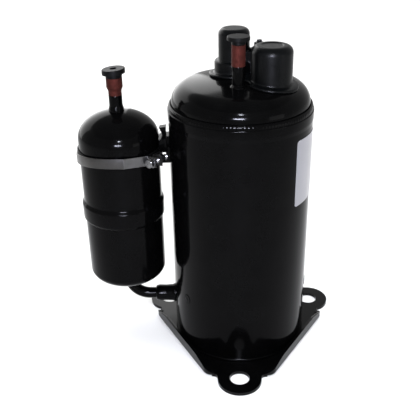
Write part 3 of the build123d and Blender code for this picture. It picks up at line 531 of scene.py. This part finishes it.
foot_weld_low = node_box("bottom_weld")[0]
foot_bead = [(cap_r + 0.4, foot_weld_low.z + 0.1)]
for step in range(8):
    turn = math.radians(-60 + 150 * step / 7)
    foot_bead.append((shell_r - 0.55 + 1.15 * math.cos(turn), foot_weld_low.z + 1.5 + 1.9 * math.sin(turn)))
foot_bead.append((cap_r + 0.4, foot_weld_low.z + 3.2))
settle(lathe("bottom_weld_bead", foot_bead, paint, segments=792, wobble=ripple(3.0, 0.35)),
       "housing", "black_paint", "bottom_weld")

settle(from_cad("foot_plate", "base_plate", plate_paint, 0.55), "housing", "black_paint", "base_plate")
settle(from_cad("bottom_dish", "bottom_cap", paint, 0.5), "housing", "black_paint", "bottom_cap")


def weld_button(name, angle, height, radius, rise, material):
    """A plug weld's flattened button with a ridged edge, lying on the shell."""
    rings, spokes = 12, 48
    vertices, faces = [], []
    for i in range(rings + 1):
        share = i / rings
        for s in range(spokes):
            turn = 2 * math.pi * s / spokes
            uneven = 1 + 0.07 * noise.noise(Vector((math.cos(turn), math.sin(turn), angle)))
            along = share * radius * uneven
            profile = math.sqrt(max(1 - share ** 4, 0)) * (1 - 0.45 * math.exp(-((share - 0.55) / 0.16) ** 2))
            lift = rise * (profile + 0.08 * math.sin(9 * share * math.pi)) if i < rings else -1.2
            swing = angle + along * math.cos(turn) / shell_r
            reach = shell_r + lift
            vertices.append((reach * math.cos(swing), reach * math.sin(swing),
                             height + along * math.sin(turn) * 1.1))
    for i in range(rings):
        for s in range(spokes):
            t = (s + 1) % spokes
            a, b = i * spokes, (i + 1) * spokes
            faces.append((a + s, a + t, b + t, b + s))
    return new_object(name, vertices, faces, material, 70)


plug_weld_z = 59.0
weld_button_angles = (96, 217, 354)
for number, angle in enumerate(weld_button_angles):
    settle(weld_button(f"plug_weld_{number}", math.radians(angle), plug_weld_z, 4.9, 0.55, paint),
           "housing", "black_paint", "bearing_plug_welds")

# ---------------------------------------------------------------- pieces: accumulator

acc_dome_z, acc_dish_z = 211.0, 77.7
dome_rise = upper_high.z - acc_dome_z
dish_drop = acc_dish_z - acc_low.z
acc_wall = 2.0


def cup(radius, level, rise, steps=22):
    """A quarter of an ellipse from the rim at level to its pole."""
    points = []
    for step in range(steps + 1):
        turn = math.pi / 2 * step / steps
        points.append((radius * math.cos(turn), level + rise * math.sin(turn)))
    return points


lip_low, lip_high = upper_low.z, 149.0
upper_outline = (
    rounded([(acc_r + 0.2, lip_low), (lip_r, lip_low, 0.7), (lip_r, lip_high, 2.5),
             (acc_r, lip_high + 3.4, 3.0), (acc_r, lip_high + 9)])[:-1]
    + cup(acc_r, acc_dome_z, dome_rise)
    + cup(acc_r - acc_wall, acc_dome_z, dome_rise - acc_wall)[::-1]
    + [(acc_r - acc_wall, lip_high + 3)]
)
settle(lathe("accumulator_upper_skin", upper_outline, paint, (acc_x, 0), 224, pressed),
       "housing", "black_paint", "accumulator_upper_shell")
lower_outline = (
    [(acc_r - acc_wall, lip_high - 1), (acc_r, lip_high - 1)]
    + cup(acc_r, acc_dish_z, -dish_drop)
    + cup(acc_r - acc_wall, acc_dish_z, -dish_drop + acc_wall)[::-1]
)
settle(lathe("accumulator_lower_skin", lower_outline, paint, (acc_x, 0), 224, pressed),
       "housing", "black_paint", "accumulator_lower_shell")


def braze(phase, size):
    """An uneven fillet of filler metal."""
    def wobble(turn, share, radius, height):
        spot = Vector((math.cos(turn) * 1.7, math.sin(turn) * 1.7, phase))
        change = size * noise.noise(spot) + size * 0.4 * noise.noise(spot * 4)
        return radius + change * 0.5, height + change
    return wobble


lip_fillet = [
    (acc_r - 0.3, lip_low + 1), (lip_r - 0.3, lip_low + 0.4), (lip_r - 0.45, lip_low - 0.5),
    (lip_r - 0.9, lip_low - 1.0), (acc_r + 0.35, lip_low - 1.9), (acc_r - 0.3, lip_low - 2.6),
]
settle(lathe("accumulator_lip_braze", lip_fillet, paint, (acc_x, 0), 224, braze(1.0, 0.35)),
       "housing", "black_paint", "accumulator_weld")

# ---------------------------------------------------------------- pieces: copper ports and plugs

inlet_foot, inlet_paint_top = 216.0, 250.0
inlet_flare_low, inlet_flare_high = 253.7, 256.9
inlet_step_low, inlet_step_high = 255.0, 256.5
discharge_paint_top = 280.5
discharge_flare_low, discharge_flare_high = 277.4, 279.2


def paint_edge(level, phase):
    """Lets the paint's upper edge run a little up and down where the mask ended."""
    def wobble(turn, share, radius, height):
        if height < level - 0.8:
            return radius, height
        spot = Vector((math.cos(turn) * 1.5, math.sin(turn) * 1.5, phase))
        return radius, height + 0.45 * noise.noise(spot)
    return wobble


inlet_r, inlet_bore_r = 5.9, 5.0
socket_r = (inlet_high.x - inlet_low.x) / 2
inlet_top = inlet_high.z
painted_inlet = [
    (inlet_bore_r, inlet_foot), (inlet_r + 0.08, inlet_foot), (inlet_r + 0.08, inlet_paint_top - 1),
    (inlet_r + 0.08, inlet_paint_top - 0.3), (inlet_r - 0.05, inlet_paint_top),
    (inlet_bore_r, inlet_paint_top),
]
settle(lathe("suction_port_painted", painted_inlet, paint, (acc_x, 0), 96,
             paint_edge(inlet_paint_top, 2.0)), "housing", "black_paint", "accumulator_inlet_pipe")
bare_inlet = rounded([
    (inlet_bore_r, inlet_paint_top - 2), (inlet_r, inlet_paint_top - 2), (inlet_r, inlet_flare_low, 2.5),
    (socket_r, inlet_flare_high, 2.0), (socket_r, inlet_top, 0.35), (socket_r - 0.8, inlet_top, 0.3),
    (socket_r - 0.8, inlet_step_high), (inlet_bore_r, inlet_step_low),
])
settle(lathe("suction_port_copper", bare_inlet, finishes["copper"], (acc_x, 0), 96),
       "housing", "copper", "accumulator_inlet_pipe")

collar_low, collar_high = node_box("inlet_collar")
collar = rounded([
    (inlet_r - 0.2, collar_low.z - 0.5), (6.9, collar_low.z - 0.5), (6.8, collar_low.z + 1.4, 1.2),
    (6.3, collar_low.z + 4.0, 1.2), (inlet_r - 0.2, collar_high.z - 0.1),
])
settle(lathe("suction_port_braze", collar, paint, (acc_x, 0), 96, braze(4.0, 0.28)),
       "housing", "black_paint", "inlet_collar")

discharge_r = 5.4
discharge_socket_r = (pipe_high.x - pipe_low.x) / 2
painted_pipe = [
    (4.3, pipe_low.z), (discharge_r, pipe_low.z), (discharge_r, discharge_flare_low - 2.4),
    (discharge_r, discharge_flare_low), (discharge_socket_r + 0.08, discharge_flare_high),
    (discharge_socket_r + 0.08, discharge_paint_top - 0.35),
    (discharge_socket_r - 0.05, discharge_paint_top), (4.9, discharge_paint_top), (4.3, 279),
]
settle(lathe("discharge_pipe_painted", painted_pipe, paint, (pipe_x, pipe_y), 96,
             paint_edge(discharge_paint_top, 5.0)), "housing", "black_paint", "discharge_pipe")
bare_pipe = rounded([
    (4.9, discharge_paint_top - 1.5), (discharge_socket_r, discharge_paint_top - 1.5),
    (discharge_socket_r, pipe_high.z, 0.35), (4.9, pipe_high.z, 0.3),
])
settle(lathe("discharge_pipe_copper", bare_pipe, finishes["copper"], (pipe_x, pipe_y), 96),
       "housing", "copper", "discharge_pipe")

weld_top = node_box("discharge_weld")[1].z
foot_z = dome_z(pipe_x, pipe_y)
pipe_fillet = rounded([
    (discharge_r - 0.3, foot_z - 2.5), (7.15, foot_z - 2.5), (7.1, foot_z - 0.1, 0.9),
    (6.0, foot_z + 0.9, 1.2), (discharge_r - 0.3, weld_top - 0.2),
])
settle(lathe("discharge_braze", pipe_fillet, paint, (pipe_x, pipe_y), 96, braze(6.0, 0.22)),
       "housing", "black_paint", "discharge_weld")

plug_tilt = math.tan(math.radians(4.5))


def leaning(point):
    """The suction plug sits a little askew: its right side stands higher."""
    share = min(max((point.z - inlet_top) / 3.0, 0.0), 1.0)
    return Vector((point.x, point.y, point.z + share * plug_tilt * (point.x - acc_x)))


rubber_black = finishes["black_rubber"]
settle(from_cad("suction_plug_rubber", "suction_plug", rubber_black, 0.5, move=leaning),
       "suction_plug", "black_rubber", "suction_plug")
settle(from_cad("discharge_plug_rubber", "discharge_plug", rubber_black, 0.5),
       "discharge_plug", "black_rubber", "discharge_plug")

# ---------------------------------------------------------------- pieces: suction elbow's sleeve

sleeve_r = (sleeve_high.y - sleeve_low.y) / 2 - 1.2
sleeve_outline = rounded([
    (5.0, sleeve_high.x), (sleeve_r, sleeve_high.x), (sleeve_r + 1.15, -64.9, 0.6),
    (sleeve_r + 0.1, -67.4, 1.6), (sleeve_r - 0.35, -74.0, 4), (sleeve_r - 0.1, -80.5, 2),
    (sleeve_r - 0.9, -83.6, 1.0), (5.6, sleeve_low.x + 0.1, 0.4), (5.0, sleeve_low.x + 0.1),
])
settle(lathe("suction_sleeve_skin", sleeve_outline, paint, (0, suction_z), 96, axis="X"),
       "housing", "black_paint", "suction_sleeve")

# ---------------------------------------------------------------- pieces: terminal cover

settle(moulded("terminal_cover_moulding", "terminal_cover", finishes["cover_plastic"], 0.55, 5),
       "cover", "cover_plastic", "terminal_cover")
dark_steel = finishes["dark_steel"]
settle(from_cad("cover_nut_hex", "cover_nut", dark_steel, 0.35), "cover", "dark_steel", "cover_nut")
settle(from_cad("cover_washer_ring", "cover_washer", dark_steel, 0.2), "cover", "dark_steel", "cover_washer")


def threaded_rod(name, start, end, radius, pitch, material):
    """A rod with a cut thread between two points, its ends chamfered."""
    start, end = Vector(start), Vector(end)
    along = (end - start).normalized()
    side = along.orthogonal().normalized()
    up = along.cross(side)
    length = (end - start).length
    segments = 36
    rows = int(length / pitch * 8)
    depth = pitch * 0.55
    vertices = []
    for i in range(rows + 1):
        reach = length * i / rows
        for s in range(segments):
            turn = 2 * math.pi * s / segments
            phase = (reach / pitch - s / segments) % 1.0
            groove = depth * abs(2 * phase - 1)
            chamfer = max(0.0, 0.7 - min(reach, length - reach))
            out = radius - max(groove * 0.9, chamfer)
            vertices.append(start + along * reach + (side * math.cos(turn) + up * math.sin(turn)) * out)
    return new_object(name, vertices, stacked(rows + 1, segments), material, 50)


stud_x, stud_y = (stud_low.x + stud_high.x) / 2, (stud_low.y + stud_high.y) / 2
stud_r = (stud_high.x - stud_low.x) / 2
settle(threaded_rod("cover_stud_thread", (stud_x, stud_y, stud_low.z + 0.3),
                    (stud_x, stud_y, stud_high.z - 0.05), stud_r, 0.8, dark_steel),
       "housing", "dark_steel", "cover_stud")
for node, name, slot in (
    ("terminal_body", "terminal_header", "terminal_steel"),
    ("terminal_pins", "terminal_pin_set", "terminal_steel"),
    ("overload_protector", "protector_can", "protector_plastic"),
    ("protector_tabs", "protector_blades", "terminal_steel"),
):
    settle(from_cad(name, node, finishes[slot], 0.25), "housing", slot, node)

# ---------------------------------------------------------------- pieces: strap

strap_tilt = math.radians(10.0)
clamp_turn, half_gap = math.radians(-40), 3.0
strap_front_y, strap_mid_z, strap_half_h, strap_t = -37.0, 199.6, 4.7, 1.2
liner_out = acc_r + 1.4
zinc = finishes["galvanised_steel"]
bright_zinc = finishes["bright_zinc"]
# A lighter copy of the band's zinc for its front facet past the crease: a painted reflection, standing in for
# the brighter light that the flat facet catches.
lit_facet_zinc = zinc_steel("lit_facet_zinc", (0.084, 0.083, 0.083))


def strap_z(y):
    return strap_mid_z - (y - strap_front_y) * math.tan(strap_tilt)


def around(radius, degrees):
    turn = math.radians(degrees)
    return (acc_x + radius * math.cos(turn), radius * math.sin(turn))


def ear(side, reach):
    """A point on one ear: side is -1 or 1 across the clamp's gap, reach from the axis."""
    off = side * (half_gap + strap_t / 2)
    return (acc_x + reach * math.cos(clamp_turn) - off * math.sin(clamp_turn),
            reach * math.sin(clamp_turn) + off * math.cos(clamp_turn))


band_r = liner_out + strap_t / 2
crease_r, crease_at = band_r + 1.55, 281.5
plan = [ear(-1, liner_out + 12), (*ear(-1, band_r + 0.9), 1.3), (*around(crease_r, crease_at), 1.2)]
degrees = crease_at - math.degrees(math.acos(band_r / crease_r))
while degrees > -26:
    plan.append(around(band_r, degrees))
    degrees -= 4
plan += [(*ear(1, band_r + 0.2), 1.3), ear(1, liner_out + 12)]
route = rounded(plan, 5)


def strap_mesh(name, route, material):
    """The band: a thin strip swept along a plan route, its edges rounded."""
    section = rounded([
        (-strap_t / 2, -strap_half_h, 0.4), (strap_t / 2, -strap_half_h, 0.4),
        (strap_t / 2, strap_half_h, 0.4), (-strap_t / 2, strap_half_h, 0.4),
    ], 3)
    vertices = []
    for i, here in enumerate(route):
        before = Vector(route[max(i - 1, 0)])
        after = Vector(route[min(i + 1, len(route) - 1)])
        along = (after - before).normalized()
        out = Vector((-along.y, along.x))
        for u, v in section:
            x, y = here[0] + out.x * u, here[1] + out.y * u
            vertices.append((x, y, strap_z(y) + v))
    return new_object(name, vertices, stacked(len(route), len(section)), material, 25)


band = strap_mesh("strap_band_steel", route, zinc)
crease_x = around(crease_r, crease_at)[0]
# The faces past the crease on the front side take the lighter zinc copy, a painted reflection.
band.data.materials.append(lit_facet_zinc)
for face in band.data.polygons:
    if face.center.x / MM > crease_x and face.center.y < 0:
        face.material_index = 1
settle(band, "housing", "galvanised_steel", "strap_band")
settle(from_cad("strap_liner_rubber", "strap_liner", rubber_black, 0.4),
       "housing", "black_rubber", "strap_liner")
settle(from_cad("strap_washer_rings", "strap_washers", bright_zinc, 0.2),
       "housing", "bright_zinc", "strap_washers")
settle(from_cad("strap_nut_hex", "strap_nut", bright_zinc, 0.45), "housing", "bright_zinc", "strap_nut")
clamp_reach = liner_out + 7.0
clamp_x, clamp_y = acc_x + clamp_reach * math.cos(clamp_turn), clamp_reach * math.sin(clamp_turn)
clamp_z = strap_z(clamp_y)


def on_bolt(along):
    return (clamp_x - along * math.sin(clamp_turn), clamp_y + along * math.cos(clamp_turn), clamp_z)


def hexagon(name, start, end, across, material):
    """A hexagonal head whose corners are turned off at both ends."""
    start, end = Vector(start), Vector(end)
    along = (end - start).normalized()
    side = along.orthogonal().normalized()
    up = along.cross(side)
    length = (end - start).length
    vertices = []
    segments = 72
    levels = ((0.0, 1.0), (0.45, 1.16), (length - 0.6, 1.16), (length, 0.98))
    for reach, limit in levels:
        for s in range(segments):
            turn = 2 * math.pi * s / segments
            flat = across / math.cos((turn % (math.pi / 3)) - math.pi / 6)
            out = min(flat, across * limit)
            vertices.append(start + along * reach + (side * math.cos(turn) + up * math.sin(turn)) * out)
    return new_object(name, vertices, stacked(len(levels), segments), material, 25)


ear_face = half_gap + strap_t + 1.0
settle(threaded_rod("strap_bolt_thread", on_bolt(-ear_face - 0.5), on_bolt(13.95), 2.5, 0.8, bright_zinc),
       "housing", "bright_zinc", "strap_bolt")
settle(hexagon("strap_bolt_head", on_bolt(-ear_face), on_bolt(-ear_face - 3.35), 3.95, bright_zinc),
       "housing", "bright_zinc", "strap_bolt")
settle(from_cad("strap_holder", "strap_bracket", paint, 0.6), "housing", "black_paint", "strap_bracket")

# ---------------------------------------------------------------- pieces: label

label_from, label_to = math.radians(315.5), math.radians(352.0)
label_low, label_high = node_box("rating_label")
label_corner = 2.0


def label_sheet(name, material):
    """The film with rounded corners, lying on the shell."""
    columns, rows = 40, 48
    vertices, faces = [], []
    for layer in (0.04, 0.22):
        for j in range(rows + 1):
            height = label_low.z + (label_high.z - label_low.z) * j / rows
            near = min(height - label_low.z, label_high.z - height)
            inset = 0.0
            if near < label_corner:
                inset = label_corner - math.sqrt(label_corner ** 2 - (label_corner - near) ** 2)
            for i in range(columns + 1):
                low = label_from + inset / shell_r
                high = label_to - inset / shell_r
                turn = low + (high - low) * i / columns
                ripple_up = 0.03 * noise.noise(Vector((turn * 9, height * 0.08, 3.0)))
                reach = shell_r + layer + (ripple_up if layer > 0.1 else 0)
                vertices.append((reach * math.cos(turn), reach * math.sin(turn), height))
    across = columns + 1
    back = across * (rows + 1)
    for j in range(rows):
        for i in range(columns):
            a = j * across + i
            faces.append((back + a, back + a + 1, back + a + across + 1, back + a + across))
            faces.append((a, a + across, a + across + 1, a + 1))
    for j in range(rows):
        for i in (0, columns):
            a = j * across + i
            faces.append((a, a + across, back + a + across, back + a))
    for i in range(columns):
        for j in (0, rows):
            a = j * across + i
            faces.append((a, back + a, back + a + 1, a + 1))
    return new_object(name, vertices, faces, material, 40)


settle(label_sheet("blank_label", finishes["label_film"]), "housing", "label_film", "rating_label")

# ---------------------------------------------------------------- camera and light

camera_at = Vector((-26.88, -575.74, 432.05)) * MM
camera_yaw, camera_pitch, camera_roll = -0.0026, 0.4772, -0.0157
ahead = Vector((
    math.sin(camera_yaw) * math.cos(camera_pitch),
    math.cos(camera_yaw) * math.cos(camera_pitch),
    -math.sin(camera_pitch),
))
level = Vector((math.cos(camera_yaw), -math.sin(camera_yaw), 0))
upward = level.cross(ahead)
right = level * math.cos(camera_roll) + upward * math.sin(camera_roll)
top = upward * math.cos(camera_roll) - level * math.sin(camera_roll)
lens = bpy.data.cameras.new("camera")
lens.sensor_width = 36
lens.lens = 58.15
camera = bpy.data.objects.new("camera", lens)
camera.matrix_world = Matrix((
    (right.x, top.x, -ahead.x, camera_at.x),
    (right.y, top.y, -ahead.y, camera_at.y),
    (right.z, top.z, -ahead.z, camera_at.z),
    (0, 0, 0, 1),
))
scene.collection.objects.link(camera)
scene.camera = camera
scene.view_settings.view_transform = "Standard"


def soft_light(name, place, target, size, power, colour=(1, 1, 1), does="light"):
    """A rectangular light that lights surfaces, shows as a mirror image in gloss, or does both."""
    light = bpy.data.lights.new(name, "AREA")
    light.shape = "RECTANGLE"
    light.size, light.size_y = size
    light.energy = power
    light.color = colour
    made = bpy.data.objects.new(name, light)
    made.location = place
    made.visible_glossy = does != "light"
    made.visible_diffuse = does != "mirror"
    made.visible_camera = False
    made.rotation_euler = (Vector(target) - Vector(place)).to_track_quat("-Z", "Y").to_euler()
    scene.collection.objects.link(made)


soft_light("overhead", (0.1, 0.25, 1.9), (0, 0, 0), (2.2, 1.6), 24)
soft_light("left_box", (-1.5, 0.1, 0.9), (0, 0, 0.15), (0.9, 1.2), 7)
soft_light("camera_flash", (-0.02, -0.62, 0.60), (0, 0, 0.15), (0.06, 0.05), 4.2, (0.85, 0.88, 1.0), "both")
soft_light("rear_screen", (-1.19, 1.69, 0.72), (0, 0, 0.25), (2.5, 1.8), 50, (1, 1, 1), "mirror")
soft_light("front_strip", (-0.06, -0.75, 0.345), (0, 0, 0.25), (0.20, 0.045), 17, (0.80, 0.82, 1.0), "mirror")
soft_light("right_card", (1.05, -0.74, 0.10), (-0.1, 0, 0.2), (0.6, 0.6), 2.8, (1, 1, 1), "mirror")
sun = bpy.data.lights.new("fill", "SUN")
sun.energy = 0.95
sun.angle = math.radians(70)
fill = bpy.data.objects.new("fill", sun)
fill.rotation_euler = (math.radians(-8), math.radians(6), 0)
fill.visible_glossy = False
scene.collection.objects.link(fill)

world = bpy.data.worlds.new("studio")
world.use_nodes = True
sky_nodes, sky_links = world.node_tree.nodes, world.node_tree.links
sky_place = sky_nodes.new("ShaderNodeTexCoord")
sky_split = sky_nodes.new("ShaderNodeSeparateXYZ")
sky_tone = sky_nodes.new("ShaderNodeValToRGB")
sky_links.new(sky_place.outputs["Generated"], sky_split.inputs["Vector"])
sky_links.new(sky_split.outputs["Z"], sky_tone.inputs["Fac"])
sky_links.new(sky_tone.outputs["Color"], sky_nodes["Background"].inputs["Color"])
sky_tone.color_ramp.elements[0].position = 0.60
sky_tone.color_ramp.elements[0].color = (1, 1, 1, 1)
sky_tone.color_ramp.elements[1].position = 0.66
sky_tone.color_ramp.elements[1].color = (0.60, 0.60, 0.60, 1)
sky_nodes["Background"].inputs["Strength"].default_value = 0.9
scene.world = world

floor_half, floor_cells = 3.0, 24
floor_mesh = bmesh.new()
bmesh.ops.create_grid(floor_mesh, x_segments=floor_cells, y_segments=floor_cells, size=floor_half)
floor_data = bpy.data.meshes.new("floor")
floor_mesh.to_mesh(floor_data)
floor_mesh.free()
floor = bpy.data.objects.new("floor", floor_data)
scene.collection.objects.link(floor)
pale = Finish("pale_floor", specular=0.2)
pale.colour(pale.ramp(pale.noise(6, 3), (0.2, (0.86, 0.86, 0.86)), (0.8, (0.90, 0.90, 0.90))))
pale.roughness(pale.noise(40, 3), 0.6, 0.7)
floor_data.materials.append(pale.material)
